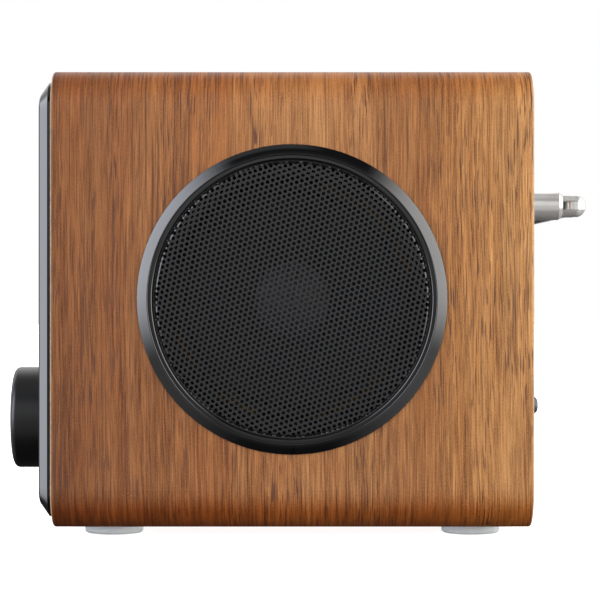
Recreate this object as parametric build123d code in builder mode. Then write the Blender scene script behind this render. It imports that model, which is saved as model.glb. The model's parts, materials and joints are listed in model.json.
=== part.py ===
"""Tabletop radio with a wooden sleeve, two side-firing speakers and a telescopic antenna.

Millimetres. X runs to the radio's right end, Y to its rear, Z up. The origin is on the tabletop,
under the middle of the cabinet.
"""

import os
from math import acos, asin, atan2, cos, degrees, radians, sin, tan

from build123d import *

os.makedirs("parts", exist_ok=True)

# ---- driving dimensions -------------------------------------------------------------------------
cab_w = 260.0  # cabinet sleeve, along X
cab_d = 150.0  # along Y
cab_h = 143.0  # along Z
cab_wall = 9.0
cab_corner = 12.5  # outer long corners
cab_bore_corner = 4.0  # inner long corners
cab_edge = 1.0  # rounding of the front and rear rims

foot_r = 9.25
foot_h = 3.0
foot_edge = 1.0
foot_side = 25.0  # foot centre in from the sleeve's side
foot_y = 57.0

fascia_inset = 3.3  # fascia outline in from the sleeve outline
fascia_rim = 1.2  # straight rim before the bevel
fascia_bevel_d = 3.2
fascia_bevel_w = 4.5
fascia_skin = 2.4
fascia_pocket_gap = 2.0  # pocket behind the fascia, in from the sleeve's opening
fascia_edge = 3.0  # rounding between the bevel and the face
pilot_r = 1.25  # pilot holes for the self-tapping screws
screw_shank_r = 1.2

frame_gap = 0.5  # sub-frame to sleeve
frame_t = 2.5
frame_front = 68.0  # sub-frame face, forward of the middle
frame_lip_t = 2.0

window_w = 150.0
window_h = 46.0
window_r = 3.0
window_z = 22.0  # above the cabinet's middle
window_gap = 0.15
display_depth = 7.8

knob_x = 66.0
knob_z = -39.65  # from the cabinet's middle, as for every *_z below
knob_r = 16.9
knob_len = 13.1
knob_gap = 1.0  # knob to fascia
knob_wall = 2.5
knob_edge = 1.9
shaft_r = 3.0
shaft_thin_r = 2.0
knob_top_t = 2.5
knob_hub_r = 6.0
running = 0.05  # radial clearance of shafts

button_count = 5
button_pitch = 24.0
button_first_x = -94.0
button_w = 15.0
button_h = 7.5
button_proud = 0.9
button_gap = 0.35
button_flange = 1.2
stem_r = 1.5

spk_ring_r = 48.0
spk_ring_proud = 1.9
spk_ring_inner_r = 44.6
spk_lip_r = 43.3
spk_neck_r = 45.5
spk_ledge_r = 39.0  # opening of the ledge the driver is screwed to
spk_hole_r = 45.6
grille_r = 42.7
grille_t = 0.8
grille_depth = 4.0
driver_flange_r = 44.0
driver_bore_r = 38.4
driver_screw_r = 41.9
suspension_r = 38.0

panel_t = 2.5
panel_gap = 0.4
vent_count = 9
vent_w = 70.0
vent_h = 2.2
vent_pitch = 5.0
vent_first_z = 4.0
batten = 10.0

board_w = 130.0
board_d = 92.0
board_t = 1.6
board_y = 22.0
standoff_h = 6.0
standoff_r = 3.0

jack_bore_r = 1.8
jack_bore_len = 13.0
jack_xs = (15.0, -10.0)  # headphone jack, line-in jack
inlet_x = 42.0
inlet_bore_r = 2.9
inlet_pin_r = 1.0

ant_x = 108.0
ant_z = 29.8
ant_barrel_r = 4.5
ant_fork_r = 3.7
ant_stub_r = 2.5
ant_pivot_y = 90.0
ant_slot = 2.56
ant_lug_t = 2.4
ant_pin_r = 1.0
ant_lean = 2.6  # degrees by which the folded rod leans in towards the panel
rod_r = (3.0, 2.52, 2.02, 1.52)  # the telescope's sections, outermost first
rod_wall = 0.42
rod_start = 12.0
rod_end = 165.0
rod_step = 1.5  # how far each section stands out of the one around it when closed

# ---- derived places -----------------------------------------------------------------------------
mid_z = foot_h + cab_h / 2
front_y = -cab_d / 2
rear_y = cab_d / 2
side_x = cab_w / 2
bore_w = cab_w - 2 * cab_wall
bore_h = cab_h - 2 * cab_wall
wall_x = side_x - cab_wall  # inner face of the side wall
floor_z = foot_h + cab_wall  # inner face of the bottom wall
fascia_w = cab_w - 2 * fascia_inset
fascia_h = cab_h - 2 * fascia_inset
fascia_r = cab_corner - fascia_inset
fascia_face_y = front_y - fascia_rim - fascia_bevel_d
pocket_y = fascia_face_y + fascia_skin
panel_in_y = rear_y - panel_t
control_z = mid_z + knob_z
pocket_w = bore_w - 2 * fascia_pocket_gap
pocket_h = bore_h - 2 * fascia_pocket_gap
button_xs = [button_first_x + button_pitch * i for i in range(button_count)]
row_mid_x = (button_xs[0] + button_xs[-1]) / 2
fascia_screw_places = [(x, z) for x in (-112, 0, 112) for z in (mid_z - 56, mid_z + 56)]
rear_screw_offsets = (
    (-115, -33.4), (115, -33.4), (-85, 55), (85, 55), (-85, -55), (85, -55),
)
rear_screw_places = [(x, mid_z + z) for x, z in rear_screw_offsets]
board_screw_places = [(x, board_y + y) for x in (-60, 60) for y in (-41, 33)]
driver_screw_angles = (45, 135, 225, 315)

speaker_plane = Plane(origin=(0, 0, mid_z), x_dir=(1, 0, 0), z_dir=(0, -1, 0))
speaker_axis = Axis((0, 0, mid_z), (1, 0, 0))


def facing_front(x, y, z):
    """A plane whose normal points out of the radio's front; its x runs along +X, its y along +Z."""
    return Plane(origin=(x, y, z), x_dir=(1, 0, 0), z_dir=(0, -1, 0))


def facing_rear(x, y, z):
    """A plane whose normal points out of the radio's rear; its x runs along -X."""
    return Plane(origin=(x, y, z), x_dir=(-1, 0, 0), z_dir=(0, 1, 0))


def turned(points, plane, axis):
    """Turn a closed outline of (along the axis, radius) points into a ring or a disc."""
    with BuildSketch(plane) as outline:
        with BuildLine():
            Polyline(*points, close=True)
        make_face()
    revolve(outline.sketch, axis=axis)


def plate(plane, width, height, depth, corner=0.0, mode=Mode.ADD):
    """A flat plate that starts on the plane and runs back against its normal."""
    with BuildSketch(plane) as outline:
        if corner:
            RectangleRounded(width, height, corner)
        else:
            Rectangle(width, height)
    extrude(outline.sketch, amount=-depth, mode=mode)


def rod(plane, radius, length, mode=Mode.ADD):
    """A round bar that starts on the plane and runs back against its normal."""
    with BuildSketch(plane) as outline:
        Circle(radius)
    extrude(outline.sketch, amount=-length, mode=mode)


def save(part, name):
    """Label the piece and write it under its name."""
    part.label = name
    export_step(part, f"parts/{name}.step")


# ---- cabinet and feet ---------------------------------------------------------------------------
with BuildPart() as cabinet_sleeve:
    plate(facing_front(0, front_y, mid_z), cab_w, cab_h, cab_d, cab_corner)
    rims = cabinet_sleeve.faces().sort_by(Axis.Y)
    fillet(rims[0].edges() + rims[-1].edges(), cab_edge)
    plate(facing_front(0, front_y, mid_z), bore_w, bore_h, cab_d, cab_bore_corner, mode=Mode.SUBTRACT)
    with BuildSketch(Plane(origin=(-side_x, 0, mid_z), x_dir=(0, 1, 0), z_dir=(1, 0, 0))):
        Circle(spk_hole_r)
    extrude(amount=cab_w, mode=Mode.SUBTRACT)
save(cabinet_sleeve.part, "cabinet_sleeve")

with BuildPart() as feet:
    with GridLocations(cab_w - 2 * foot_side, 2 * foot_y, 2, 2):
        Cylinder(foot_r, foot_h, align=(Align.CENTER, Align.CENTER, Align.MIN))
    fillet(feet.edges().group_by(Axis.Z)[0], foot_edge)
save(feet.part, "feet")

# ---- front: fascia, window, sub-frame -----------------------------------------------------------
with BuildPart() as front_fascia:
    plate(facing_front(0, front_y - fascia_rim, mid_z), fascia_w, fascia_h, fascia_rim, fascia_r)
    with BuildSketch(facing_front(0, front_y - fascia_rim, mid_z)):
        RectangleRounded(fascia_w, fascia_h, fascia_r)
    with BuildSketch(facing_front(0, fascia_face_y, mid_z)):
        bevel_w = 2 * fascia_bevel_w
        RectangleRounded(fascia_w - bevel_w, fascia_h - bevel_w, fascia_r - fascia_bevel_w)
    loft(ruled=True)
    fillet(front_fascia.faces().sort_by(Axis.Y)[0].edges(), fascia_edge)
    plate(facing_front(0, pocket_y, mid_z), pocket_w, pocket_h, 10, 3, mode=Mode.SUBTRACT)
    window_plane = facing_front(0, fascia_face_y, mid_z + window_z)
    plate(window_plane, window_w, window_h, 5, window_r, mode=Mode.SUBTRACT)
    rod(facing_front(knob_x, fascia_face_y, control_z), shaft_r + 2.0, 5, mode=Mode.SUBTRACT)
    for x in button_xs:
        with BuildSketch(facing_front(x, fascia_face_y, control_z)):
            SlotOverall(button_w + 2 * button_gap, button_h + 2 * button_gap)
        extrude(amount=-5, mode=Mode.SUBTRACT)
    for x, z in fascia_screw_places:
        rod(facing_front(x, pocket_y, z), 3.2, -frame_front - pocket_y)
        rod(facing_front(x, pocket_y + 1, z), pilot_r, 20, mode=Mode.SUBTRACT)
save(front_fascia.part, "front_fascia")

with BuildPart() as display_window:
    window_top = facing_front(0, fascia_face_y + 0.2, mid_z + window_z)
    plate(window_top, window_w - 2 * window_gap, window_h - 2 * window_gap, fascia_skin - 0.2, window_r)
    plate(facing_front(0, pocket_y, mid_z + window_z), window_w + 5, window_h + 5, 1.0, window_r)
save(display_window.part, "display_window")

with BuildPart() as display_module:
    plate(facing_front(0, pocket_y + 1.2, mid_z + window_z), window_w - 4, window_h - 4, display_depth - 2)
    board_plane = facing_front(0, pocket_y - 0.8 + display_depth, mid_z + window_z)
    plate(board_plane, window_w + 2, window_h + 4, 1.2)
    chamfer(display_module.faces().sort_by(Axis.Y)[0].edges(), 0.4)
save(display_module.part, "display_module")

with BuildPart() as front_subframe:
    sub_w = bore_w - 2 * frame_gap
    sub_h = bore_h - 2 * frame_gap
    plate(facing_front(0, -frame_front, mid_z), sub_w, sub_h, frame_t, cab_bore_corner)
    rim_plane = facing_front(0, front_y + 0.2, mid_z)
    back_plane = facing_front(0, -frame_front + frame_t, mid_z)
    inner_w = sub_w - 2 * frame_lip_t
    inner_h = sub_h - 2 * frame_lip_t
    plate(rim_plane, sub_w, sub_h, 20, cab_bore_corner)
    plate(rim_plane, inner_w, inner_h, -frame_front - front_y - 0.2, 3, mode=Mode.SUBTRACT)
    plate(back_plane, inner_w, inner_h, 20, 3, mode=Mode.SUBTRACT)
    plate(facing_front(0, -frame_front, mid_z + window_z), window_w - 30, 24, frame_t, 2, mode=Mode.SUBTRACT)
    plate(facing_front(knob_x, -frame_front, control_z), 9, 9, frame_t, mode=Mode.SUBTRACT)
    plate(facing_front(row_mid_x, -frame_front, control_z), 100, 8, frame_t, 2, mode=Mode.SUBTRACT)
    for x, z in fascia_screw_places:
        rod(facing_front(x, -frame_front, z), 1.5, frame_t, mode=Mode.SUBTRACT)
save(front_subframe.part, "front_subframe")

# ---- tuning knob and rotary encoder -------------------------------------------------------------
knob_back_y = fascia_face_y - knob_gap
knob_front_y = knob_back_y - knob_len
enc_front_y = -frame_front - 6.5
knob_inside = facing_front(knob_x, knob_front_y + knob_top_t, control_z)

with BuildPart() as tuning_knob:
    rod(facing_front(knob_x, knob_front_y, control_z), knob_r, knob_len)
    fillet(tuning_knob.faces().sort_by(Axis.Y)[0].edges(), knob_edge)
    rod(knob_inside, knob_r - knob_wall, knob_len, mode=Mode.SUBTRACT)
    rod(knob_inside, knob_hub_r, knob_len - 3.5)
    rod(knob_inside, shaft_r, knob_len, mode=Mode.SUBTRACT)
save(tuning_knob.part, "tuning_knob")

with BuildPart() as encoder_shaft:
    rod(knob_inside, shaft_r, enc_front_y + 0.5 - knob_front_y - knob_top_t)
    rod(facing_front(knob_x, enc_front_y + 0.5, control_z), shaft_thin_r, 4.0)
save(encoder_shaft.part, "encoder_shaft")

with BuildPart() as encoder_body:
    plate(facing_front(knob_x, enc_front_y, control_z), 13.5, 12.5, 6.5, 1)
    rod(facing_front(knob_x, enc_front_y - 4.5, control_z), 3.9, 4.6)
    rod(facing_front(knob_x, enc_front_y + 0.9, control_z), 5.0, 4.8, mode=Mode.SUBTRACT)
    rod(facing_front(knob_x, enc_front_y - 4.5, control_z), shaft_r + running, 6, mode=Mode.SUBTRACT)
save(encoder_body.part, "encoder_body")

with BuildPart() as encoder_rotor:
    rod(facing_front(knob_x, enc_front_y + 1.6, control_z), 4.7, 2.0)
    rod(facing_front(knob_x, enc_front_y + 1.6, control_z), shaft_thin_r + running, 2.0, mode=Mode.SUBTRACT)
save(encoder_rotor.part, "encoder_rotor")

# ---- push buttons -------------------------------------------------------------------------------
button_names = ["button_power", "button_source", "button_menu", "button_back", "button_preset"]
board_face_y = -frame_front - board_t
switch_face_y = board_face_y - 3.5

for name, x in zip(button_names, button_xs):
    with BuildPart() as button:
        with BuildSketch(facing_front(x, fascia_face_y - button_proud, control_z)):
            SlotOverall(button_w, button_h)
        extrude(amount=-(button_proud + fascia_skin + 0.4))
        fillet(button.faces().sort_by(Axis.Y)[0].edges(), 0.5)
        with BuildSketch(facing_front(x, pocket_y + 0.3, control_z)):
            SlotOverall(button_w + 2.5, button_h + 2.5)
        extrude(amount=-button_flange)
        rod(facing_front(x, pocket_y + 0.3 + button_flange, control_z), stem_r, 0.7)
    save(button.part, name)

with BuildPart() as button_board:
    plate(facing_front(row_mid_x, board_face_y, control_z), 142, 17, board_t)
save(button_board.part, "button_board")

with BuildPart() as tact_switches:
    for x in button_xs:
        plate(facing_front(x, switch_face_y, control_z), 6, 6, 3.5, 0.5)
        rod(facing_front(x, switch_face_y - 0.9, control_z), 1.75, 0.9)
save(tact_switches.part, "tact_switches")

# ---- right speaker, then its mirror image on the left -------------------------------------------
ring_top = side_x + spk_ring_proud
ledge_x = wall_x + 2.5
gasket_t = 1.0
flange_t = 1.5
flange_x = wall_x - gasket_t  # front of the driver's flange
magnet_x = 85.0  # back of the ferrite ring
magnet_t = 9.5
plate_t = 2.0  # the steel plate in front of it


def driver_screw_seats(x, side=1):
    """Planes at the four driver screws, at that distance from the middle, facing inwards."""
    turns = [radians(angle) for angle in driver_screw_angles]
    places = [(driver_screw_r * cos(turn), mid_z + driver_screw_r * sin(turn)) for turn in turns]
    return [Plane(origin=(side * x, y, z), z_dir=(-side, 0, 0)) for y, z in places]


with BuildPart() as trim_ring_right:
    with BuildSketch(speaker_plane):
        with BuildLine():
            bevel_foot = (side_x + 0.4, spk_ring_r)
            crest = (ring_top, spk_ring_inner_r + 0.35)
            brink = (ring_top - 0.3, spk_ring_inner_r)
            step = (side_x + 1.0, spk_ring_inner_r - 0.8)
            lip = (side_x + 0.5, spk_lip_r)
            Line((side_x, spk_ring_r), bevel_foot)
            ThreePointArc(bevel_foot, (side_x + 1.35, spk_ring_r - 1.6), crest)
            ThreePointArc(crest, (ring_top - 0.05, spk_ring_inner_r + 0.1), brink)
            Polyline(brink, (side_x + 1.0, spk_ring_inner_r - 0.1), step)
            ThreePointArc(step, (side_x + 0.85, spk_lip_r + 0.15), lip)
            Polyline(
                lip, (ledge_x, spk_lip_r), (ledge_x, spk_ledge_r), (wall_x, spk_ledge_r),
                (wall_x, spk_neck_r), (side_x, spk_neck_r), (side_x, spk_ring_r),
            )
        make_face()
    revolve(axis=speaker_axis)
    for seat in driver_screw_seats(wall_x):
        rod(seat, pilot_r, 1.8, mode=Mode.SUBTRACT)

with BuildPart() as speaker_grille_right:
    grille_top = side_x + 0.6
    turned(
        [
            (grille_top, 0), (grille_top, grille_r - grille_t), (grille_top - grille_t, grille_r),
            (grille_top - grille_depth, grille_r), (grille_top - grille_depth, grille_r - grille_t),
            (grille_top - 1.1, grille_r - grille_t), (grille_top - grille_t, grille_r - 1.5),
            (grille_top - grille_t, 0),
        ],
        speaker_plane, speaker_axis,
    )

with BuildPart() as speaker_gasket_right:
    turned(
        [
            (flange_x, spk_ledge_r), (flange_x, driver_flange_r),
            (wall_x, driver_flange_r), (wall_x, spk_ledge_r),
        ],
        speaker_plane, speaker_axis,
    )
    for seat in driver_screw_seats(flange_x):
        rod(seat, pilot_r, gasket_t, mode=Mode.SUBTRACT)

plate_x = magnet_x + magnet_t  # back of the top plate
basket_x = plate_x + plate_t  # back of the basket's floor
basket_rim_x = flange_x - 5.0
basket_rim_r = 39.8
basket_floor_r = 23.5
with BuildPart() as speaker_basket_right:
    turned(
        [
            (flange_x, driver_bore_r), (flange_x, driver_flange_r), (flange_x - flange_t, driver_flange_r),
            (flange_x - flange_t, basket_rim_r), (basket_rim_x, basket_rim_r),
            (basket_x + 1.5, basket_floor_r), (basket_x, basket_floor_r - 1.5),
            (basket_x, 12.5), (basket_x + 1.2, 12.5), (basket_x + 1.2, basket_floor_r - 2.5),
            (basket_rim_x, driver_bore_r),
        ],
        speaker_plane, speaker_axis,
    )
    slant = degrees(atan2(basket_rim_x - basket_x - 1.5, basket_rim_r - basket_floor_r))
    for angle in (0, 90, 180, 270):
        turn = Location((0, 0, mid_z), (angle, 0, 0))
        with Locations(turn * Pos(magnet_x + 21, 0, 30.5) * Rot(0, 90 - slant, 0)):
            Box(9, 26, 14, mode=Mode.SUBTRACT)
    for seat in driver_screw_seats(flange_x - flange_t):
        rod(seat, pilot_r, flange_t, mode=Mode.SUBTRACT)

with BuildPart() as speaker_magnet_right:
    turned(
        [(magnet_x, 14), (magnet_x, 25), (plate_x, 25), (plate_x, 14)],
        speaker_plane, speaker_axis,
    )
    fillet(speaker_magnet_right.edges().filter_by(GeomType.CIRCLE).sort_by(SortBy.RADIUS)[-2:], 0.8)

with BuildPart() as speaker_top_plate_right:
    turned(
        [(plate_x, 10.4), (plate_x, 22), (basket_x, 22), (basket_x, 10.4)],
        speaker_plane, speaker_axis,
    )

with BuildPart() as speaker_yoke_right:
    turned(
        [
            (magnet_x - 4, 0), (magnet_x - 4, 20), (magnet_x - 2.5, 22), (magnet_x, 22),
            (magnet_x, 9.0), (basket_x, 9.0), (basket_x, 0),
        ],
        speaker_plane, speaker_axis,
    )

cone_back_x = magnet_x + 20.0
cone_front_x = magnet_x + 32.0
with BuildPart() as voice_coil_right:
    turned(
        [
            (magnet_x + 7, 9.3), (magnet_x + 7, 10.1), (magnet_x + 13, 10.1), (magnet_x + 13, 9.6),
            (cone_back_x, 9.6), (cone_back_x, 9.3),
        ],
        speaker_plane, speaker_axis,
    )

with BuildPart() as spider_right:
    turned(
        [
            (magnet_x + 15.5, 9.6), (magnet_x + 15.5, 11.5), (magnet_x + 14.5, 13), (magnet_x + 15.5, 14.5),
            (magnet_x + 14.5, 16), (magnet_x + 15.5, 17.5), (magnet_x + 15.5, 20.5), (magnet_x + 16, 20.5),
            (magnet_x + 16, 17.4), (magnet_x + 15.1, 16), (magnet_x + 16, 14.5), (magnet_x + 15.1, 13),
            (magnet_x + 16, 11.6), (magnet_x + 16, 9.6),
        ],
        speaker_plane, speaker_axis,
    )

with BuildPart() as speaker_cone_right:
    turned(
        [
            (cone_back_x, 9.3), (cone_front_x, 33.0), (cone_front_x + 0.7, 33.0),
            (cone_back_x + 1.0, 10.0), (cone_back_x + 1.0, 9.3),
        ],
        speaker_plane, speaker_axis,
    )

cap_r = 12.0
cap_h = 4.0
cap_x = cone_back_x + 2.2
cap_t = 0.5
cap_sphere_r = (cap_r**2 + cap_h**2) / (2 * cap_h)
cap_centre_x = cap_x + cap_h - cap_sphere_r


def on_cap(sphere_r, angle):
    """A point of the dust cap's profile, at an angle from the speaker's axis."""
    return (cap_centre_x + sphere_r * cos(angle), sphere_r * sin(angle))


with BuildPart() as dust_cap_right:
    inner_r = cap_sphere_r - cap_t
    outer_end = asin(cap_r / cap_sphere_r)
    inner_end = acos((cap_x - cap_centre_x) / inner_r)
    with BuildSketch(speaker_plane):
        with BuildLine():
            Line(on_cap(inner_r, 0), on_cap(cap_sphere_r, 0))
            ThreePointArc(*[on_cap(cap_sphere_r, outer_end * part) for part in (0, 0.5, 1)])
            Line(on_cap(cap_sphere_r, outer_end), on_cap(inner_r, inner_end))
            ThreePointArc(*[on_cap(inner_r, inner_end * part) for part in (1, 0.5, 0)])
        make_face()
    revolve(axis=speaker_axis)

roll_x = cone_front_x + 0.4
with BuildPart() as surround_right:
    with BuildSketch(speaker_plane):
        with BuildLine():
            Line((roll_x, 33.05), (roll_x, 33.6))
            ThreePointArc((roll_x, 33.6), (roll_x + 1.7, 35.5), (roll_x, 37.4))
            Line((roll_x, 37.4), (roll_x, suspension_r))
            Line((roll_x, suspension_r), (roll_x + 0.5, suspension_r))
            Line((roll_x + 0.5, suspension_r), (roll_x + 0.5, 37.7))
            ThreePointArc((roll_x + 0.5, 37.7), (roll_x + 2.2, 35.5), (roll_x + 0.5, 33.3))
            Line((roll_x + 0.5, 33.3), (roll_x + 0.5, 33.05))
            Line((roll_x + 0.5, 33.05), (roll_x, 33.05))
        make_face()
    revolve(axis=speaker_axis)

own_node = {
    "trim_ring": trim_ring_right, "speaker_grille": speaker_grille_right, "voice_coil": voice_coil_right,
    "spider": spider_right, "speaker_cone": speaker_cone_right, "dust_cap": dust_cap_right,
    "surround": surround_right,
}
for name, piece in own_node.items():
    save(piece.part, f"{name}_right")
    with BuildPart() as twin:
        mirror(piece.part, about=Plane.YZ)
    save(twin.part, f"{name}_left")

shared_node = {
    "speaker_gaskets": speaker_gasket_right, "speaker_baskets": speaker_basket_right,
    "speaker_magnets": speaker_magnet_right, "speaker_top_plates": speaker_top_plate_right,
    "speaker_yokes": speaker_yoke_right,
}
for name, piece in shared_node.items():
    with BuildPart() as pair:
        add(piece.part)
        mirror(piece.part, about=Plane.YZ)
    save(pair.part, name)

with BuildPart() as speaker_screws:
    for side in (-1, 1):
        for seat in driver_screw_seats(flange_x - flange_t, side):
            rod(seat.offset(1.6), 2.0, 1.6)
            rod(seat, screw_shank_r, 4.0)
save(speaker_screws.part, "speaker_screws")

# ---- rear panel ---------------------------------------------------------------------------------
jack_z = floor_z + standoff_h + board_t + 5.5
with BuildPart() as rear_panel:
    panel_w = bore_w - 2 * panel_gap
    panel_h = bore_h - 2 * panel_gap
    plate(facing_rear(0, rear_y, mid_z), panel_w, panel_h, panel_t, cab_bore_corner)
    for x, z in rear_screw_places:
        rod(facing_rear(x, rear_y, z), 1.8, panel_t, mode=Mode.SUBTRACT)
    rod(facing_rear(ant_x, rear_y, mid_z + ant_z), 5.5, panel_t, mode=Mode.SUBTRACT)
    for x in jack_xs:
        rod(facing_rear(x, rear_y, jack_z), 3.2, panel_t, mode=Mode.SUBTRACT)
    rod(facing_rear(inlet_x, rear_y, jack_z), 4.4, panel_t, mode=Mode.SUBTRACT)
    for i in range(vent_count):
        with BuildSketch(facing_rear(0, rear_y, mid_z + vent_first_z + vent_pitch * i)):
            SlotOverall(vent_w, vent_h)
        extrude(amount=-panel_t, mode=Mode.SUBTRACT)
save(rear_panel.part, "rear_panel")

with BuildPart() as rear_battens:
    for side in (-1, 1):
        batten_x = side * (bore_w / 2 - batten / 2)
        plate(facing_rear(batten_x, panel_in_y, mid_z - 28), batten, 44, batten)
        for height in (-1, 1):
            batten_z = mid_z + height * (bore_h / 2 - batten / 2)
            plate(facing_rear(side * 85, panel_in_y, batten_z), 36, batten, batten)
    for x, z in rear_screw_places:
        rod(facing_rear(x, panel_in_y, z), pilot_r, 9, mode=Mode.SUBTRACT)
save(rear_battens.part, "rear_battens")

with BuildPart() as rear_panel_screws:
    for x, z in rear_screw_places:
        rod(facing_rear(x, rear_y + 2.5, z), 3.0, 2.5)
        rod(facing_rear(x, rear_y, z), screw_shank_r, 11)
    fillet(rear_panel_screws.edges().group_by(Axis.Y)[-1], 2.0)
    for x, z in rear_screw_places:
        for size in ((3.0, 0.7), (0.7, 3.0)):
            plate(facing_rear(x, rear_y + 2.5, z), *size, 1.2, mode=Mode.SUBTRACT)
save(rear_panel_screws.part, "rear_panel_screws")

with BuildPart() as audio_jacks:
    for x in jack_xs:
        plate(facing_rear(x, panel_in_y - 0.3, jack_z), 9, 11, 13)
        rod(facing_rear(x, rear_y, jack_z), 3.0, panel_t + 0.4)
        rod(facing_rear(x, rear_y, jack_z), jack_bore_r, jack_bore_len, mode=Mode.SUBTRACT)
save(audio_jacks.part, "audio_jacks")

with BuildPart() as power_inlet:
    plate(facing_rear(inlet_x, panel_in_y - 0.3, jack_z), 10, 11, 14)
    rod(facing_rear(inlet_x, rear_y, jack_z), 4.2, panel_t + 0.4)
    rod(facing_rear(inlet_x, rear_y, jack_z), inlet_bore_r, 10, mode=Mode.SUBTRACT)
    rod(facing_rear(inlet_x, rear_y - 1.5, jack_z), inlet_pin_r, 9)
save(power_inlet.part, "power_inlet")

# ---- main board on the cabinet floor ------------------------------------------------------------
board_z = floor_z + standoff_h
with BuildPart() as board_standoffs:
    for x, y in board_screw_places:
        with Locations((x, y, floor_z)):
            Cylinder(standoff_r, standoff_h, align=(Align.CENTER, Align.CENTER, Align.MIN))
            Hole(pilot_r)
save(board_standoffs.part, "board_standoffs")

with BuildPart() as main_board:
    with BuildSketch(Plane.XY.offset(board_z)):
        with Locations((0, board_y)):
            Rectangle(board_w, board_d)
        with Locations(*board_screw_places):
            Circle(1.6, mode=Mode.SUBTRACT)
    extrude(amount=board_t)
save(main_board.part, "main_board")

screw_seats = [facing_rear(x, -frame_front + frame_t, z) for x, z in fascia_screw_places]
screw_seats += [Plane(origin=(x, y, board_z + board_t), z_dir=(0, 0, 1)) for x, y in board_screw_places]
with BuildPart() as small_screws:
    for seat in screw_seats:
        rod(seat.offset(1.6), 2.7, 1.6)
        rod(seat, screw_shank_r, 7.0)
        with Locations(seat.offset(1.6)):
            Box(0.7, 3.2, 1.6, mode=Mode.SUBTRACT)
            Box(3.2, 0.7, 1.6, mode=Mode.SUBTRACT)
save(small_screws.part, "small_screws")

board_top = board_z + board_t
with BuildPart() as tuner_shield:
    with Locations((-38, 5, board_top)):
        Box(34, 42, 8, align=(Align.CENTER, Align.CENTER, Align.MIN))
    fillet(tuner_shield.edges().filter_by(Axis.Z), 1.5)
    with Locations((-38, 5, board_top)):
        Box(33, 41, 7.5, align=(Align.CENTER, Align.CENTER, Align.MIN), mode=Mode.SUBTRACT)
save(tuner_shield.part, "tuner_shield")

fin_count = 7
with BuildPart() as heat_sink:
    with Locations((40, 0, board_top)):
        Box(34, 24, 3, align=(Align.CENTER, Align.CENTER, Align.MIN))
    with Locations((40, 0, board_top + 3)):
        with GridLocations(5.2, 0, fin_count, 1):
            Box(1.4, 24, 13, align=(Align.CENTER, Align.CENTER, Align.MIN))
save(heat_sink.part, "heat_sink")

with BuildPart() as board_components:
    for x, y, radius, height in ((5, -8, 6.3, 16), (5, 8, 6.3, 16), (22, 30, 4, 11), (30, 42, 4, 11)):
        with Locations((x, y, board_top)):
            Cylinder(radius, height, align=(Align.CENTER, Align.CENTER, Align.MIN))
    fillet(board_components.edges().group_by(Axis.Z)[-1], 0.8)
    for x, y, width, depth in ((-4, 32, 14, 14), (-40, 42, 10, 7), (6, -20, 18, 5)):
        with Locations((x, y, board_top)):
            Box(width, depth, 2.4, align=(Align.CENTER, Align.CENTER, Align.MIN))
    for side in (-1, 1):
        with Locations((side * 57, 30, board_top)):
            Box(6, 8, 6, align=(Align.CENTER, Align.CENTER, Align.MIN))
save(board_components.part, "board_components")

# ---- speaker leads ------------------------------------------------------------------------------
lead_r = 1.2
lead_route = [
    (116.8, 20.0, mid_z - 35.5), (116.6, 21.0, 27.0), (109.0, 22.5, 16.5), (92.0, 25.0, 14.4),
    (77.0, 27.5, 20.0), (66.0, 29.5, 29.5), (57.5, 30.0, 31.5), (57.0, 30.0, board_top + 6.2),
]


def bend_radii(points):
    """The largest arc at each corner that leaves both its runs some straight length."""
    radii = []
    for before, here, after in zip(points, points[1:], points[2:]):
        run_in = Vector(*here) - Vector(*before)
        run_out = Vector(*after) - Vector(*here)
        half_turn = radians(run_in.get_angle(run_out)) / 2
        radii.append(0.45 * min(run_in.length, run_out.length) / tan(half_turn))
    return radii


with BuildPart() as speaker_leads:
    with BuildLine() as lead_line:
        FilletPolyline(*lead_route, radius=bend_radii(lead_route))
    with BuildSketch(Plane(origin=lead_line.line @ 0, z_dir=lead_line.line % 0)):
        Circle(lead_r)
    sweep(path=lead_line.line)
    mirror(about=Plane.YZ)
save(speaker_leads.part, "speaker_leads")

# ---- antenna ------------------------------------------------------------------------------------
ant_height = mid_z + ant_z
ant_axis = Axis((ant_x, 0, ant_height), (0, 1, 0))
ant_plane = Plane(origin=(ant_x, 0, ant_height), x_dir=(0, 1, 0), z_dir=(1, 0, 0))
lean = radians(ant_lean)
pivot = (ant_x, ant_pivot_y, ant_height)
rod_dir = (-cos(lean), -sin(lean), 0)
barrel_back_y = rear_y + 1.5
barrel_end_y = 84.7
chamfer_end_y = 85.9

with BuildPart() as antenna_socket:
    rod(facing_rear(ant_x, rear_y + 1.2, ant_height), 7.0, 1.2)
    rod(facing_rear(ant_x, rear_y, ant_height), 5.4, 9.0)
    rod(facing_rear(ant_x, rear_y + 1.2, ant_height), ant_stub_r + running, 20, mode=Mode.SUBTRACT)
save(antenna_socket.part, "antenna_socket")

with BuildPart() as antenna_nut:
    with BuildSketch(facing_rear(ant_x, panel_in_y, ant_height)):
        RegularPolygon(8.0, 6)
        Circle(5.4, mode=Mode.SUBTRACT)
    extrude(amount=-3.0)
save(antenna_nut.part, "antenna_nut")

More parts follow.
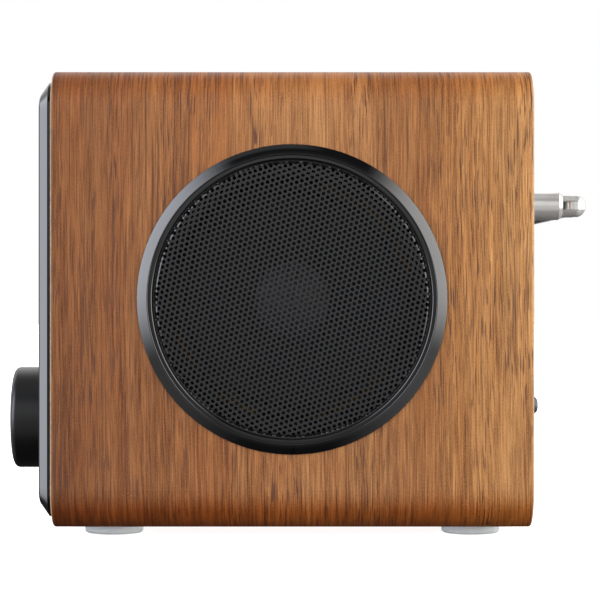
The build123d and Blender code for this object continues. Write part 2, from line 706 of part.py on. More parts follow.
with BuildPart() as antenna_swivel:
    with BuildSketch(ant_plane):
        with BuildLine():
            Polyline(
                (64.5, 0), (64.5, ant_stub_r), (barrel_back_y, ant_stub_r), (barrel_back_y, ant_barrel_r),
                (barrel_end_y, ant_barrel_r), (chamfer_end_y, ant_fork_r), (ant_pivot_y, ant_fork_r),
            )
            ThreePointArc(
                (ant_pivot_y, ant_fork_r),
                (ant_pivot_y + ant_fork_r * cos(radians(45)), ant_fork_r * sin(radians(45))),
                (ant_pivot_y + ant_fork_r, 0),
            )
            Line((ant_pivot_y + ant_fork_r, 0), (64.5, 0))
        make_face()
    revolve(axis=ant_axis)
    plate(facing_rear(ant_x, 100, ant_height), 12, ant_slot, 100 - chamfer_end_y, mode=Mode.SUBTRACT)
    with BuildSketch(Plane(origin=(ant_x, ant_pivot_y, ant_height - 5), z_dir=(0, 0, 1))):
        Circle(ant_pin_r)
    extrude(amount=10, mode=Mode.SUBTRACT)
save(antenna_swivel.part, "antenna_swivel")

with BuildPart() as antenna_retaining_ring:
    rod(facing_rear(ant_x, 65.7, ant_height), 5.0, 0.8)
    rod(facing_rear(ant_x, 65.7, ant_height), ant_stub_r, 0.8, mode=Mode.SUBTRACT)
save(antenna_retaining_ring.part, "antenna_retaining_ring")

with BuildPart() as antenna_hinge_pin:
    with Locations(pivot):
        Cylinder(ant_pin_r, 2 * ant_fork_r - 0.3)
save(antenna_hinge_pin.part, "antenna_hinge_pin")


def along_rod(distance):
    """A plane square to the rod, the given distance out from the hinge pin, facing the pin."""
    place = tuple(p + distance * d for p, d in zip(pivot, rod_dir))
    return Plane(origin=place, x_dir=(0, 0, 1), z_dir=tuple(-d for d in rod_dir))


lug_r = 3.5
lug_foot = (ant_x, ant_pivot_y, ant_height - ant_lug_t / 2)
with BuildPart() as antenna_elbow:
    with BuildSketch(Plane(origin=lug_foot, x_dir=rod_dir, z_dir=(0, 0, 1))):
        Circle(lug_r)
        with Locations((3.2, 0)):
            Rectangle(6.4, 5.0)
    extrude(amount=ant_lug_t)
    rod(along_rod(4.6), rod_r[0], rod_start - 4.6)
    rod(along_rod(rod_start), rod_r[0] - rod_wall - 0.02, 5.0)
    with Locations(pivot):
        Cylinder(ant_pin_r + running, 6, mode=Mode.SUBTRACT)
save(antenna_elbow.part, "antenna_elbow")

for i, radius in enumerate(rod_r[:-1]):
    with BuildPart() as section:
        rod_from = rod_start if i == 0 else 18.0 + 2 * i
        rod(along_rod(rod_from), radius, rod_end + rod_step * i - rod_from)
        rod(along_rod(rod_from), radius - rod_wall, 200, mode=Mode.SUBTRACT)
    save(section.part, f"antenna_section_{i + 1}")

tip_from = rod_end + rod_step * 3 + 0.4
tip_len = 6.5
with BuildPart() as antenna_section_4:
    rod(along_rod(24), rod_r[-1], tip_from + 4 - 24)
save(antenna_section_4.part, "antenna_section_4")

with BuildPart() as antenna_tip:
    rod(along_rod(tip_from), rod_r[0], tip_len)
    fillet(antenna_tip.faces().sort_by(Axis.X)[0].edges(), 1.5)
    rod(along_rod(tip_from), rod_r[-1], 4.0, mode=Mode.SUBTRACT)
save(antenna_tip.part, "antenna_tip")
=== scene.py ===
"""Looks of the tabletop radio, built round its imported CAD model. Blender units are metres."""

import json
import math

import bmesh
import bpy
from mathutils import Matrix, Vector


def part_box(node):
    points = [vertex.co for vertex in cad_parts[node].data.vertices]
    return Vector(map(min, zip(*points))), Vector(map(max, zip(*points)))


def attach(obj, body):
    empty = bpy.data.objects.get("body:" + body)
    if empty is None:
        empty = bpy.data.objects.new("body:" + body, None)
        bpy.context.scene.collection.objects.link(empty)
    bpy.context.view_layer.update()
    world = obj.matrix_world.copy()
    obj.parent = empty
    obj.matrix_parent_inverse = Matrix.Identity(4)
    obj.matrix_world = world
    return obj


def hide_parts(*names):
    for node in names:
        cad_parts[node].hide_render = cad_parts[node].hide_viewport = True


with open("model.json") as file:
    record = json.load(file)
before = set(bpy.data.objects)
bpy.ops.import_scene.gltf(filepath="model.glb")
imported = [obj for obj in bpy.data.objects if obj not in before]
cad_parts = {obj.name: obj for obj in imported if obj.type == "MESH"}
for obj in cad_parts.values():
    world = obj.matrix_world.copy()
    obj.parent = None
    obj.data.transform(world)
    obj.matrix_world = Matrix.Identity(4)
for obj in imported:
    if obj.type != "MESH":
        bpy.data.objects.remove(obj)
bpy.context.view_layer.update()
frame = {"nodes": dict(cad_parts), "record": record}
MM = 0.001
nodes_by_name = frame["nodes"]
scene = bpy.context.scene
scene.view_settings.view_transform = "Standard"

cab_low, cab_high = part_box("cabinet_sleeve")
mid_z = (cab_low.z + cab_high.z) / 2
side_x = cab_high.x


# ---- node helpers -------------------------------------------------------------------------------
class Shader:
    """A node material with one Principled shader and short calls for the nodes that feed it."""

    def __init__(self, name, **values):
        self.material = bpy.data.materials.new(name)
        self.material.use_nodes = True
        self.tree = self.material.node_tree
        self.bsdf = self.tree.nodes["Principled BSDF"]
        for socket, value in values.items():
            self.bsdf.inputs[socket.replace("_", " ")].default_value = value
        self.place = self.node("ShaderNodeTexCoord").outputs["Object"]

    def node(self, kind, **settings):
        made = self.tree.nodes.new(kind)
        for key, value in settings.items():
            setattr(made, key, value)
        return made

    def link(self, source, target):
        self.tree.links.new(source, target)

    def feed(self, target, source):
        """Link a source or set a plain value."""
        if isinstance(source, bpy.types.NodeSocket):
            self.link(source, target)
        else:
            target.default_value = source

    def scaled(self, scale, shift=(0, 0, 0), vector=None):
        made = self.node("ShaderNodeMapping")
        self.link(vector or self.place, made.inputs["Vector"])
        made.inputs["Scale"].default_value = scale
        made.inputs["Location"].default_value = shift
        return made.outputs["Vector"]

    def noise(self, scale, detail=3.0, rough=0.5, vector=None, distortion=0.0):
        """Noise of a scale per metre: one number, or three for streaks."""
        made = self.node("ShaderNodeTexNoise")
        triple = scale if isinstance(scale, tuple) else (scale,) * 3
        self.link(self.scaled(triple, vector=vector), made.inputs["Vector"])
        made.inputs["Scale"].default_value = 1.0
        made.inputs["Detail"].default_value = detail
        made.inputs["Roughness"].default_value = rough
        made.inputs["Distortion"].default_value = distortion
        return made.outputs["Fac"]

    def math(self, operation, a, b=0.0, clamp=False):
        made = self.node("ShaderNodeMath", operation=operation, use_clamp=clamp)
        self.feed(made.inputs[0], a)
        self.feed(made.inputs[1], b)
        return made.outputs[0]

    def axis(self, letter, vector=None):
        made = self.node("ShaderNodeSeparateXYZ")
        self.link(vector or self.place, made.inputs[0])
        return made.outputs[letter]

    def fit(self, value, low, high, to_low=0.0, to_high=1.0):
        """Map a range onto another, held at its ends."""
        made = self.node("ShaderNodeMapRange", clamp=True)
        self.link(value, made.inputs["Value"])
        for socket, number in zip(("From Min", "From Max", "To Min", "To Max"), (low, high, to_low, to_high)):
            made.inputs[socket].default_value = number
        return made.outputs["Result"]

    def ramp(self, value, *stops):
        made = self.node("ShaderNodeValToRGB")
        elements = made.color_ramp.elements
        while len(elements) < len(stops):
            elements.new(0.5)
        for element, (at, colour) in zip(elements, stops):
            element.position = at
            element.color = (*colour, 1.0)
        self.link(value, made.inputs[0])
        return made.outputs["Color"]

    def mix(self, amount, a, b, blend="MIX"):
        made = self.node("ShaderNodeMix", data_type="RGBA", blend_type=blend)
        self.feed(made.inputs[0], amount)
        for socket, value in ((made.inputs[6], a), (made.inputs[7], b)):
            self.feed(socket, value if isinstance(value, bpy.types.NodeSocket) else (*value, 1.0))
        return made.outputs[2]

    def bump(self, height, distance, strength=1.0, under=None):
        made = self.node("ShaderNodeBump")
        self.link(height, made.inputs["Height"])
        made.inputs["Distance"].default_value = distance
        made.inputs["Strength"].default_value = strength
        if under:
            self.link(under, made.inputs["Normal"])
        return made.outputs["Normal"]

    def set(self, socket, source):
        self.feed(self.bsdf.inputs[socket], source)


# ---- materials ----------------------------------------------------------------------------------
def wood_veneer():
    """Satin veneer: the grain runs round the sleeve, so it varies fast along Y and slowly along X and Z."""
    s = Shader("wood_veneer", Specular_IOR_Level=0.25)
    wander = s.math("MULTIPLY", s.math("SUBTRACT", s.noise((7, 25, 7), 2.0), 0.5), 0.005)
    ripple = s.math("MULTIPLY", s.math("SUBTRACT", s.noise((55, 90, 55), 2.0), 0.5), 0.0003)
    shifted = s.node("ShaderNodeCombineXYZ")
    for letter in "XZ":
        s.link(s.axis(letter), shifted.inputs[letter])
    s.link(s.math("ADD", s.math("ADD", s.axis("Y"), wander), ripple), shifted.inputs["Y"])
    across = shifted.outputs[0]

    # the flitch: dark towards the front, pale towards the rear
    depth = s.fit(s.axis("Y", across), -0.075, 0.075)
    colour = s.ramp(
        depth,
        (0.00, (0.182, 0.069, 0.022)), (0.15, (0.196, 0.076, 0.026)), (0.24, (0.222, 0.091, 0.031)),
        (0.33, (0.234, 0.089, 0.028)), (0.42, (0.256, 0.109, 0.037)), (0.54, (0.296, 0.133, 0.048)),
        (0.67, (0.262, 0.116, 0.041)), (0.77, (0.248, 0.104, 0.035)), (0.85, (0.312, 0.140, 0.045)),
        (1.00, (0.350, 0.174, 0.062)),
    )
    layers = (
        ((2.5, 75, 2.5), 0.60), ((5, 230, 5), 1.05), ((26, 900, 26), 0.95), ((75, 2500, 75), 1.85),
        ((70, 330, 70), 0.60), ((1700, 2900, 1700), 1.00),
    )
    tone = 0.0
    for scale, share in layers:
        wave = s.noise(scale, 2.0, 0.6, across)
        tone = s.math("ADD", tone, s.math("MULTIPLY", s.math("SUBTRACT", wave, 0.5), share))
    along = s.fit(s.axis("Z"), 0.0, 0.146, -0.13, 0.04)
    tone = s.math("ADD", tone, along)
    light = s.node("ShaderNodeCombineColor")
    for socket, power in zip(light.inputs, (0.92, 1.08, 1.20)):
        s.link(s.math("MAXIMUM", s.math("ADD", s.math("MULTIPLY", tone, power), 1.0), 0.25), socket)
    colour = s.mix(1.0, colour, light.outputs[0], "MULTIPLY")

    orange = s.fit(s.noise((10, 260, 10), 3.0, 0.6, across), 0.36, 0.66, 0.0, 0.38)
    colour = s.mix(orange, colour, s.mix(1.0, colour, (1.02, 0.80, 0.62), "MULTIPLY"))
    vessels = s.noise((100, 2300, 100), 1.0, 0.4, across)
    zone = s.fit(s.noise((12, 150, 12), 2.0, 0.5, across), 0.40, 0.60, 0.15, 0.90)
    pore = s.math("MULTIPLY", s.fit(vessels, 0.57, 0.63), zone)
    colour = s.mix(pore, colour, (0.085, 0.032, 0.016))
    lines = s.noise((22, 1250, 22), 2.0, 0.5, across)
    streaked = s.fit(s.noise((5, 60, 5), 2.0, 0.5, across), 0.42, 0.60, 0.15, 0.80)
    colour = s.mix(s.math("MULTIPLY", s.fit(lines, 0.57, 0.67), streaked), colour, (0.085, 0.033, 0.017))
    # Painted shade: faces turned up on the top corners are darkened to a richer brown, and faces turned down
    # on the bottom corners are made darker and redder, chosen by their world-space normal.
    facing = s.node("ShaderNodeNewGeometry").outputs["Normal"]
    upward = s.axis("Z", facing)
    top_corner_painted_shade = s.mix(1.0, colour, (0.77, 0.61, 0.41), "MULTIPLY")
    colour = s.mix(s.fit(upward, 0.05, 0.70, 0.0, 0.85), colour, top_corner_painted_shade)
    bottom_corner_painted_shade = s.mix(1.0, colour, (0.84, 0.54, 0.27), "MULTIPLY")
    colour = s.mix(s.fit(upward, -0.05, -0.55, 0.0, 1.0), colour, bottom_corner_painted_shade)
    rim = s.math("ABSOLUTE", s.axis("Y", facing))
    chips = s.fit(s.noise((700, 90, 700), 4.0, 0.7), 0.35, 0.65)
    core = s.mix(chips, (0.27, 0.165, 0.088), (0.44, 0.29, 0.17))
    colour = s.mix(s.fit(rim, 0.45, 0.75, 0.0, 0.85), colour, core)
    s.set("Base Color", colour)
    fibres = s.noise((85, 2600, 85), 2.0, 0.6, across)
    s.set("Roughness", s.fit(fibres, 0.3, 0.7, 0.52, 0.40))
    height = s.math("SUBTRACT", s.math("MULTIPLY", fibres, 0.35), pore)
    s.set("Normal", s.bump(height, 0.00005, 0.5))
    return s.material


def plastic(name, colour, rough, grain=0.0, grain_scale=9000, spread=0.06, **values):
    """Moulded plastic: slightly uneven gloss, faint tone variation and a fine texture."""
    s = Shader(name, **values)
    cloud = s.noise(60, 3.0)
    darker = tuple(c * 0.86 for c in colour)
    s.set("Base Color", s.mix(s.fit(cloud, 0.35, 0.65), darker, colour))
    fine = s.noise(grain_scale, 2.0)
    smudge = s.noise(22, 4.0, 0.6)
    blend = s.math("ADD", s.math("MULTIPLY", smudge, 0.7), s.math("MULTIPLY", fine, 0.3))
    s.set("Roughness", s.fit(blend, 0.3, 0.7, max(rough - spread, 0.02), rough + spread))
    if grain:
        s.set("Normal", s.bump(fine, grain, 0.8))
    return s.material


def metal(name, colour, rough, stretch=(1, 1, 1), scale=4000, depth=0.000004, shine=1.0, rear_painted_shade=1.0, **values):
    """Bare or plated metal with drawn or turned lines along one direction. Faces that point to the rear get a
    painted shade that darkens their colour.
    """
    s = Shader(name, Metallic=shine, **values)
    lines = s.noise(tuple(scale * k for k in stretch), 2.0)
    cloud = s.noise(140, 3.0)
    dull = tuple(c * 0.80 for c in colour)
    finish_and_painted_shade = s.mix(s.fit(cloud, 0.3, 0.7), dull, colour)
    if rear_painted_shade < 1.0:
        # painted shade: faces whose world-space normal points to the rear are given a darker colour
        rearward = s.axis("Y", s.node("ShaderNodeNewGeometry").outputs["Normal"])
        finish_and_painted_shade = s.mix(s.fit(rearward, 0.15, 0.60), finish_and_painted_shade, tuple(c * rear_painted_shade for c in colour))
    s.set("Base Color", finish_and_painted_shade)
    uneven = s.math("ADD", s.math("MULTIPLY", lines, 0.5), s.math("MULTIPLY", cloud, 0.5))
    s.set("Roughness", s.fit(uneven, 0.3, 0.7, max(rough - 0.07, 0.03), rough + 0.09))
    s.set("Normal", s.bump(lines, depth, 0.6))
    return s.material


def soft_silicone():
    s = Shader("soft_feet", Roughness=0.42, Transmission_Weight=0.25, IOR=1.41, Subsurface_Weight=0.5,
               Subsurface_Radius=(0.004, 0.005, 0.006), Subsurface_Scale=1.0)
    cloud = s.noise(300, 3.0)
    s.set("Base Color", s.mix(cloud, (0.66, 0.72, 0.76), (0.86, 0.91, 0.93)))
    s.set("Normal", s.bump(s.noise(5000, 2.0), 0.00001, 0.5))
    return s.material


def smoked_glass():
    s = Shader("display_glass", Roughness=0.0, Transmission_Weight=0.9, IOR=1.49)
    s.set("Base Color", s.mix(s.noise(40, 2.0), (0.10, 0.105, 0.12), (0.12, 0.125, 0.14)))
    return s.material


def glowing(name, colour, strength):
    s = Shader(name, Roughness=0.5, Emission_Color=(*colour, 1.0), Emission_Strength=strength)
    s.set("Base Color", s.mix(s.noise(800, 2.0), colour, tuple(c * 0.8 for c in colour)))
    return s.material


def circuit_board():
    """Green solder mask with copper tracks that show as slightly raised lighter lines."""
    s = Shader("circuit_board", Roughness=0.32)
    bricks = s.node("ShaderNodeTexBrick")
    s.link(s.scaled((180, 180, 180)), bricks.inputs["Vector"])
    bricks.inputs["Mortar Size"].default_value = 0.06
    tracks = s.fit(bricks.outputs["Fac"], 0.2, 0.8)
    s.set("Base Color", s.mix(tracks, (0.012, 0.075, 0.030), (0.03, 0.16, 0.06)))
    s.set("Normal", s.bump(tracks, 0.00003, 0.6))
    return s.material


def woven(name, light, dark, scale):
    s = Shader(name, Roughness=0.85, Sheen_Weight=0.3)
    waves = [s.node("ShaderNodeTexWave", bands_direction=way) for way in ("Y", "Z")]
    for wave in waves:
        s.link(s.scaled((scale,) * 3), wave.inputs["Vector"])
        wave.inputs["Scale"].default_value = 1.0
    weave = s.math("MULTIPLY", waves[0].outputs["Fac"], waves[1].outputs["Fac"])
    s.set("Base Color", s.mix(weave, dark, light))
    s.set("Normal", s.bump(weave, 0.0001, 0.8))
    return s.material


def pulp(name, colour, rough=0.75):
    """Pressed paper pulp with fibres."""
    s = Shader(name, Roughness=rough)
    fibre = s.noise(1800, 5.0, 0.65, distortion=1.5)
    s.set("Base Color", s.mix(s.fit(fibre, 0.35, 0.65), tuple(c * 0.7 for c in colour), colour))
    s.set("Normal", s.bump(fibre, 0.00005, 0.8))
    return s.material


def surround_rubber():
    """Black rubber with a bead of brown glue, here thick and there thin, round its outer edge."""
    s = Shader("surround_rubber", Roughness=0.5)
    off_axis = s.math("SUBTRACT", s.axis("Z"), mid_z)
    squares = s.math("ADD", s.math("POWER", s.math("ABSOLUTE", s.axis("Y")), 2.0),
                     s.math("POWER", s.math("ABSOLUTE", off_axis), 2.0))
    radius = s.math("SQRT", squares)
    patchy = s.fit(s.noise(55, 2.0), 0.40, 0.60)
    glue = s.math("MULTIPLY", s.fit(radius, 0.0362, 0.0372), patchy)
    s.set("Base Color", s.mix(glue, (0.012, 0.012, 0.012), (0.30, 0.17, 0.045)))
    s.set("Normal", s.bump(s.noise(2500, 2.0), 0.00002, 0.6))
    return s.material


def raw_wood():
    s = Shader("batten_wood", Roughness=0.7)
    rings = s.noise((30, 500, 500), 3.0)
    s.set("Base Color", s.ramp(rings, (0.3, (0.42, 0.27, 0.13)), (0.7, (0.66, 0.49, 0.29))))
    s.set("Normal", s.bump(rings, 0.00008, 0.6))
    return s.material


gloss = plastic("gloss_black", (0.0030, 0.0031, 0.0035), 0.075, spread=0.025,
                Coat_Weight=0.3, Coat_Roughness=0.03)
moulded = plastic("moulded_black", (0.012, 0.012, 0.013), 0.55, 0.00003, 6000, Specular_IOR_Level=0.28)
knob_black = plastic("knob_black", (0.0022, 0.0022, 0.0025), 0.34, 0.000006, 12000, Specular_IOR_Level=0.5)
button_black = plastic("button_black", (0.008, 0.008, 0.009), 0.40, 0.000008, 9000)
grille_paint = plastic("grille_paint", (0.006, 0.006, 0.007), 0.27, 0.000008, 7000, Specular_IOR_Level=0.7)
zinc = metal("zinc_steel", (0.62, 0.62, 0.60), 0.32)
# the last number, 0.45, darkens the faces that point to the rear: a painted shade
chrome_turned = metal("satin_chrome", (0.86, 0.855, 0.84), 0.13, (1, 6, 1), 1500, 0.0000012, 0.55, 0.45)
rod_chrome = metal("rod_chrome", (0.60, 0.60, 0.595), 0.20, (0.05, 1, 1), 3000, 0.000002, 0.85)
socket_chrome = metal("socket_chrome", (0.36, 0.36, 0.355), 0.42, (1, 6, 1), 1500, 0.000003, 0.90)
nickel = metal("nickel_brass", (0.66, 0.64, 0.56), 0.28)

material_of_slot = {
    "wood_veneer": wood_veneer(),
    "soft_feet": soft_silicone(),
    "gloss_black": gloss,
    "display_glass": smoked_glass(),
    "display": plastic("display", (0.010, 0.013, 0.020), 0.25),
    "moulded_black": moulded,
    "knob_black": knob_black,
    "button_black": button_black,
    "zinc_steel": zinc,
    "black_screws": metal("black_screws", (0.055, 0.055, 0.06), 0.38),
    "circuit_board": circuit_board(),
    "components": plastic("components", (0.02, 0.02, 0.025), 0.35, 0.00001),
    "lead_sheath": plastic("lead_sheath", (0.25, 0.012, 0.012), 0.45),
    "grille_paint": grille_paint,
    "basket_paint": plastic("basket_paint", (0.025, 0.025, 0.026), 0.45, 0.00002),
    "foam": pulp("foam", (0.035, 0.035, 0.035), 0.95),
    "ferrite": plastic("ferrite", (0.035, 0.035, 0.038), 0.6, 0.00003, 3000),
    "cone_paper": pulp("cone_paper", (0.035, 0.035, 0.038)),
    "cap_paper": pulp("cap_paper", (0.12, 0.12, 0.13), 0.5),
    "surround_rubber": surround_rubber(),
    "spider_cloth": woven("spider_cloth", (0.50, 0.34, 0.12), (0.22, 0.14, 0.05), 2500),
    "copper": metal("copper", (0.75, 0.36, 0.20), 0.25, (20, 1, 1), 800),
    "batten_wood": raw_wood(),
    "aluminium_bare": metal("aluminium_bare", (0.70, 0.71, 0.72), 0.35, (1, 0.1, 1)),
    "satin_chrome": chrome_turned,
    "nickel_brass": nickel,
}
material_of_node = {
    "antenna_socket": socket_chrome,
    **{"antenna_section_" + number: rod_chrome for number in "1234"},
    "antenna_tip": rod_chrome,
}


def dress(piece, material):
    piece.data.materials.clear()
    piece.data.materials.append(material)


def smooth_curves(piece, angle=35):
    """Shade round faces smooth and keep edges sharper than the angle crisp."""
    for polygon in piece.data.polygons:
        polygon.use_smooth = True
    piece.data.set_sharp_from_angle(angle=math.radians(angle))


for part in frame["record"]["subparts"]:
    node = nodes_by_name[part["node"]]
    dress(node, material_of_node.get(part["node"], material_of_slot[part["material_slot"]]))


# ---- mesh pieces --------------------------------------------------------------------------------
def new_piece(name, bm, material, body):
    mesh = bpy.data.meshes.new(name)
    bm.normal_update()
    bm.to_mesh(mesh)
    bm.free()
    piece = bpy.data.objects.new(name, mesh)
    scene.collection.objects.link(piece)
    dress(piece, material)
    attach(piece, body)
    return piece


def perforated_grille(side, node):
    """A stamped sheet of round holes on a hexagonal lattice, bent over round its edge into a short wall."""
    low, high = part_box(node)
    pitch, hole_r, sheet_t, bend_r, wall_h = 1.7 * MM, 0.60 * MM, 0.7 * MM, 1.1 * MM, 2.4 * MM
    outer_r = (high.z - low.z) / 2
    top_x = max(abs(low.x), abs(high.x))
    flat_r = outer_r - bend_r
    reach = flat_r + bend_r * math.pi / 2 + wall_h
    tilt = math.radians(18.4)  # the lattice's rows to the horizontal

    def bent(u, v, depth):
        """Where a point of the flat sheet goes once its edge is bent over."""
        out = math.hypot(u, v)
        angle = (out - flat_r) / bend_r
        if out <= flat_r:
            radial, down = out, depth
        elif angle <= math.pi / 2:
            radial = flat_r + (bend_r - depth) * math.sin(angle)
            down = bend_r - (bend_r - depth) * math.cos(angle)
        else:
            radial, down = outer_r - depth, out - flat_r - bend_r * math.pi / 2 + bend_r
        ratio = radial / out if out else 0.0
        return Vector((side * (top_x - down), u * ratio, mid_z + v * ratio))

    bm = bmesh.new()
    known = {}

    def vertex(u, v, layer):
        key = (round(u / MM * 200), round(v / MM * 200), layer)
        if key not in known:
            known[key] = bm.verts.new(bent(u, v, sheet_t * layer))
        return known[key]

    corners = 12  # of each hole, and of the hexagonal cell round it
    turns = [tilt + math.pi * 2 * k / corners for k in range(corners)]
    spokes = [(math.cos(t), math.sin(t)) for t in turns]
    edge_r = [pitch / 2 if k % 2 == 0 else pitch / math.sqrt(3) for k in range(corners)]
    span = int(reach / pitch * 1.2) + 1
    for i in range(-span, span + 1):
        for j in range(-span, span + 1):
            along, over = (i + j / 2) * pitch, j * pitch * math.sqrt(3) / 2
            u = along * math.cos(tilt) - over * math.sin(tilt)
            v = along * math.sin(tilt) + over * math.cos(tilt)
            if math.hypot(u, v) > reach:
                continue
            cell, hole = {}, {}
            for layer in (0, 1):
                cell[layer] = [vertex(u + r * c, v + r * s, layer) for r, (c, s) in zip(edge_r, spokes)]
                hole[layer] = [vertex(u + hole_r * c, v + hole_r * s, layer) for c, s in spokes]
            for k in range(corners):
                n = (k + 1) % corners
                bm.faces.new((cell[0][k], cell[0][n], hole[0][n], hole[0][k]))
                bm.faces.new((hole[1][k], hole[1][n], cell[1][n], cell[1][k]))
                bm.faces.new((hole[0][k], hole[0][n], hole[1][n], hole[1][k]))
    # close the sheet's cut outline: each open edge of the outer layer is joined to the inner layer
    partner = {vert: known[a, b, 1] for (a, b, layer), vert in known.items() if layer == 0}
    for edge in [e for e in bm.edges if len(e.link_faces) == 1]:
        first, second = edge.verts
        if first in partner and second in partner:
            bm.faces.new((first, second, partner[second], partner[first]))
    bmesh.ops.recalc_face_normals(bm, faces=bm.faces)
    piece = new_piece(node + "_perforated", bm, grille_paint, "radio_body")
    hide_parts(node)
    smooth_curves(piece, 28)


perforated_grille(1, "speaker_grille_right")
perforated_grille(-1, "speaker_grille_left")


def segment_digit(bm, left, base, depth, segments, size):
    """One seven-segment digit of thin bars, facing the radio's front."""
    wide, tall, bar, bar_t = size * 0.5, size, size * 0.09, 0.1 * MM
    half = tall / 2
    boxes = {
        "a": (bar, tall - bar, wide - bar, tall), "g": (bar, half - bar / 2, wide - bar, half + bar / 2),
        "d": (bar, 0, wide - bar, bar), "f": (0, half + bar / 2, bar, tall - bar / 2),
        "b": (wide - bar, half + bar / 2, wide, tall - bar / 2), "e": (0, bar / 2, bar, half - bar / 2),
        "c": (wide - bar, bar / 2, wide, half - bar / 2),
    }
    for key in segments:
        x0, z0, x1, z1 = boxes[key]
        cut = bar * 0.35
        if key in "agd":
            middle = z0 + bar / 2
            lower = [(x0, middle), (x0 + cut, z0), (x1 - cut, z0)]
            outline = lower + [(x1, middle), (x1 - cut, z1), (x0 + cut, z1)]
        else:
            middle = x0 + bar / 2
            right = [(middle, z0), (x1, z0 + cut), (x1, z1 - cut)]
            outline = right + [(middle, z1), (x0, z1 - cut), (x0, z0 + cut)]
        front = [bm.verts.new((left + x, depth, base + z)) for x, z in outline]
        back = [bm.verts.new((left + x, depth + bar_t, base + z)) for x, z in outline]
        bm.faces.new(front)
        bm.faces.new(back[::-1])
        for k in range(len(outline)):
            n = (k + 1) % len(outline)
            bm.faces.new((front[k], back[k], back[n], front[n]))


def clock_readout():
    """Four glowing digits and a colon, just in front of the display module."""
    low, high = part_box("display_module")
    size = 20 * MM
    dot = 1.8 * MM
    middle_z = (low.z + high.z) / 2
    depth = low.y - 0.12 * MM
    bm = bmesh.new()
    shapes = {"1": "bc", "2": "abged", "0": "abcdef"}
    for place, digit in zip((-32, -17, 5, 20), "1200"):
        segment_digit(bm, place * MM, middle_z - size / 2, depth, shapes[digit], size)
    for height in (0.3, 0.65):
        bmesh.ops.create_cube(bm, size=dot)
        for vert in bm.verts[-8:]:
            vert.co.y = vert.co.y / 18 + depth + 0.05 * MM
            vert.co.x -= 1.2 * MM
            vert.co.z += middle_z - size / 2 + size * height
    bmesh.ops.recalc_face_normals(bm, faces=bm.faces)
    new_piece("clock_readout", bm, glowing("readout_glow", (0.75, 0.88, 1.0), 2.2), "radio_body")


clock_readout()


def printed_marks():
    """A generic white symbol on each push button, printed a twentieth of a millimetre proud."""
    print_t, line_w = 0.05 * MM, 0.35 * MM
    circle_r, circle_drop = 1.25, 0.1
    turns = [math.radians(a) for a in range(-235, 56, 10)]
    circle = [(circle_r * math.cos(t), circle_r * math.sin(t) - circle_drop) for t in turns]
    symbols = {
        "button_power": (circle, ((0, 0.3), (0, 1.6))),
        "button_source": (((-1.5, 0), (1.3, 0)), ((0.3, 1.0), (1.4, 0), (0.3, -1.0))),
        "button_menu": (((-1.4, 0.9), (1.4, 0.9)), ((-1.4, 0), (1.4, 0)), ((-1.4, -0.9), (1.4, -0.9))),
        "button_back": (((0.6, 1.3), (-0.8, 0), (0.6, -1.3)),),
        "button_preset": (((-1.3, 1.2), (-1.3, -1.2), (0, -0.1), (1.3, -1.2), (1.3, 1.2), (-1.3, 1.2)),),
    }
    ink = plastic("symbol_ink", (0.55, 0.55, 0.56), 0.6)
    for body, lines in symbols.items():
        low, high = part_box(body)
        middle = (low + high) / 2
        bm = bmesh.new()
        for line in lines:
            for (x0, z0), (x1, z1) in zip(line, line[1:]):
                start, end = Vector((x0, 0, z0)) * MM, Vector((x1, 0, z1)) * MM
                run = (end - start).normalized() * line_w / 2
                side = Vector((-run.z, 0, run.x))
                corners = (start - run - side, end + run - side, end + run + side, start - run + side)
                place = Vector((middle.x, low.y, middle.z))
                front = [bm.verts.new(place + c - Vector((0, print_t, 0))) for c in corners]
                back = [bm.verts.new(place + c) for c in corners]
                bm.faces.new(front)
                bm.faces.new(back[::-1])
                for k in range(4):
                    n = (k + 1) % 4
                    bm.faces.new((front[k], back[k], back[n], front[n]))
        bmesh.ops.recalc_face_normals(bm, faces=bm.faces)
        new_piece(body + "_symbol", bm, ink, body)


printed_marks()

for name, node in nodes_by_name.items():
    smooth_curves(node, 40)

# ---- stage, lights, camera ----------------------------------------------------------------------
def stage_floor():
    bm = bmesh.new()
    bmesh.ops.create_grid(bm, x_segments=2, y_segments=2, size=6.0)
    mesh = bpy.data.meshes.new("studio_floor")
    bm.to_mesh(mesh)
    bm.free()
    floor = bpy.data.objects.new("studio_floor", mesh)
    scene.collection.objects.link(floor)
    s = Shader("studio_floor", Roughness=0.6, Specular_IOR_Level=0.0, Emission_Color=(1, 1, 1, 1),
               Emission_Strength=0.92)
    s.set("Base Color", s.mix(s.noise(2, 2.0), (0.82, 0.82, 0.82), (0.86, 0.86, 0.86)))
    dress(floor, s.material)
    floor.visible_glossy = False
    floor.visible_diffuse = False


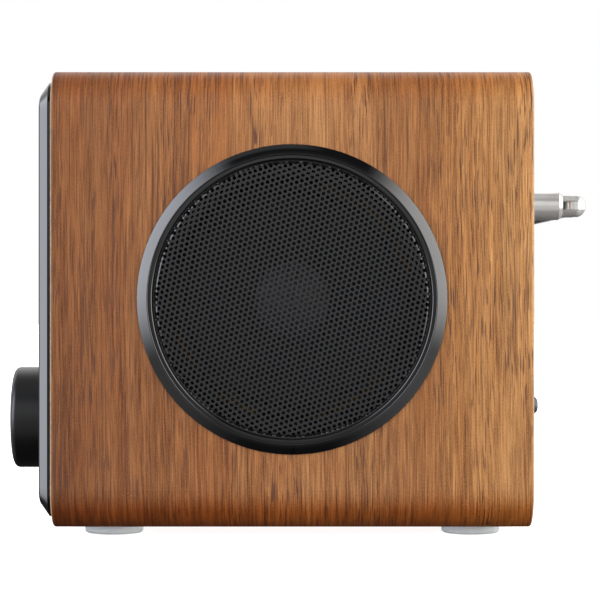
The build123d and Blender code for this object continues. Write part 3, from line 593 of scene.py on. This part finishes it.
def studio_world():
    """Plain white behind the object; what lights it is a set of soft panels painted on the surround.

    A panel is given by its angle round the X axis (0 at +Y, 90 straight up, 180 at -Y), the half widths in
    degrees of its full and of its faded part, four limits of the direction's X, its radiance and its tint.
    """
    world = bpy.data.worlds.new("studio_world")
    scene.world = world
    world.use_nodes = True
    tree = world.node_tree
    background = tree.nodes["Background"]
    link = tree.links.new
    direction = tree.nodes.new("ShaderNodeTexCoord").outputs["Generated"]
    split = tree.nodes.new("ShaderNodeSeparateXYZ")
    link(direction, split.inputs[0])

    def vector_math(operation, source, constant=None):
        made = tree.nodes.new("ShaderNodeVectorMath")
        made.operation = operation
        link(source, made.inputs[0])
        if constant is not None:
            made.inputs[1].default_value = constant
        return made

    def times(a, b):
        made = tree.nodes.new("ShaderNodeMath")
        made.operation = "MULTIPLY"
        link(a, made.inputs[0])
        link(b, made.inputs[1])
        return made.outputs[0]

    def smooth(value, low, high, to_low=0.0, to_high=1.0):
        made = tree.nodes.new("ShaderNodeMapRange")
        made.interpolation_type = "SMOOTHSTEP"
        link(value, made.inputs["Value"])
        for socket, number in zip(("From Min", "From Max", "To Min", "To Max"), (low, high, to_low, to_high)):
            made.inputs[socket].default_value = number
        return made.outputs["Result"]

    across = vector_math("NORMALIZE", vector_math("MULTIPLY", direction, (0, 1, 1)).outputs[0]).outputs[0]
    total = None
    for angle, full, faded, x_limits, radiance, tint in STUDIO_PANELS:
        turn = math.radians(angle)
        along = vector_math("DOT_PRODUCT", across, (0, math.cos(turn), math.sin(turn))).outputs["Value"]
        inside = smooth(along, math.cos(math.radians(faded)), math.cos(math.radians(full)))
        x0, x1, x2, x3 = x_limits
        inside = times(inside, smooth(split.outputs["X"], x0, x1))
        inside = times(inside, smooth(split.outputs["X"], x2, x3, 1.0, 0.0))
        panel = tree.nodes.new("ShaderNodeMix")
        panel.data_type = "RGBA"
        panel.inputs[6].default_value = (0, 0, 0, 1)
        panel.inputs[7].default_value = (*(radiance * c for c in tint), 1)
        link(inside, panel.inputs[0])
        if total is None:
            total = panel.outputs[2]
        else:
            added = tree.nodes.new("ShaderNodeVectorMath")
            link(total, added.inputs[0])
            link(panel.outputs[2], added.inputs[1])
            total = added.outputs[0]

    seen = tree.nodes.new("ShaderNodeLightPath").outputs["Is Camera Ray"]
    shown = tree.nodes.new("ShaderNodeMix")
    shown.data_type = "RGBA"
    shown.inputs[7].default_value = (1, 1, 1, 1)
    link(seen, shown.inputs[0])
    link(total, shown.inputs[6])
    link(shown.outputs[2], background.inputs["Color"])
    world.cycles.sampling_method = "MANUAL"
    world.cycles.sample_map_resolution = 1024


ALL_ROUND = 179.0
STUDIO_PANELS = (
    (158, 6, 46, (0.02, 0.36, 0.72, 0.84), 6.2, (0.91, 0.94, 1.03)),  # front, on the trim ring
    (160, 8, 52, (-0.66, -0.50, -0.36, -0.22), 2.7, (0.90, 0.94, 1.04)),  # front, on the fascia's bevel
    (20, 12, 41, (-0.75, -0.20, 0.72, 0.84), 4.6, (1.00, 0.985, 0.96)),  # rear
    (-8, 5, 70, (-0.75, -0.20, 0.80, 0.95), 0.9, (1.00, 1.00, 1.00)),  # low behind
    (195, 5, 60, (-0.75, -0.20, 0.80, 0.95), 0.5, (1.00, 1.00, 1.00)),  # low in front
    (100, 8, 24, (-0.95, -0.85, 0.45, 0.62), 0.40, (1.00, 1.00, 1.00)),  # narrow, overhead
    (90, 50, 100, (0.77, 0.83, 1.5, 2.0), 0.35, (1.00, 1.00, 1.00)),  # overhead, on the right end
    (270, ALL_ROUND, 180, (0.62, 0.95, 1.5, 2.0), 0.38, (1.00, 1.00, 1.00)),  # all round the right end
    (90, ALL_ROUND, 180, (-2.0, -1.5, 1.5, 2.0), 0.04, (1.00, 1.00, 1.00)),  # faint fill from everywhere
    (60, 60, 140, (-2.0, -1.5, -0.65, -0.30), 1.20, (1.00, 1.00, 1.00)),  # wide fill on the left end
)

stage_floor()
studio_world()

CAMERA_DISTANCE = 0.700  # from the cabinet's right side
camera_data = bpy.data.cameras.new("camera")
camera_data.sensor_width = 36.0
camera_data.lens = 135.8
camera = bpy.data.objects.new("camera", camera_data)
camera.location = (side_x + CAMERA_DISTANCE, 0.00244, mid_z - 0.0002)
camera.rotation_euler = (math.radians(90), 0, math.radians(90))
scene.collection.objects.link(camera)
scene.camera = camera
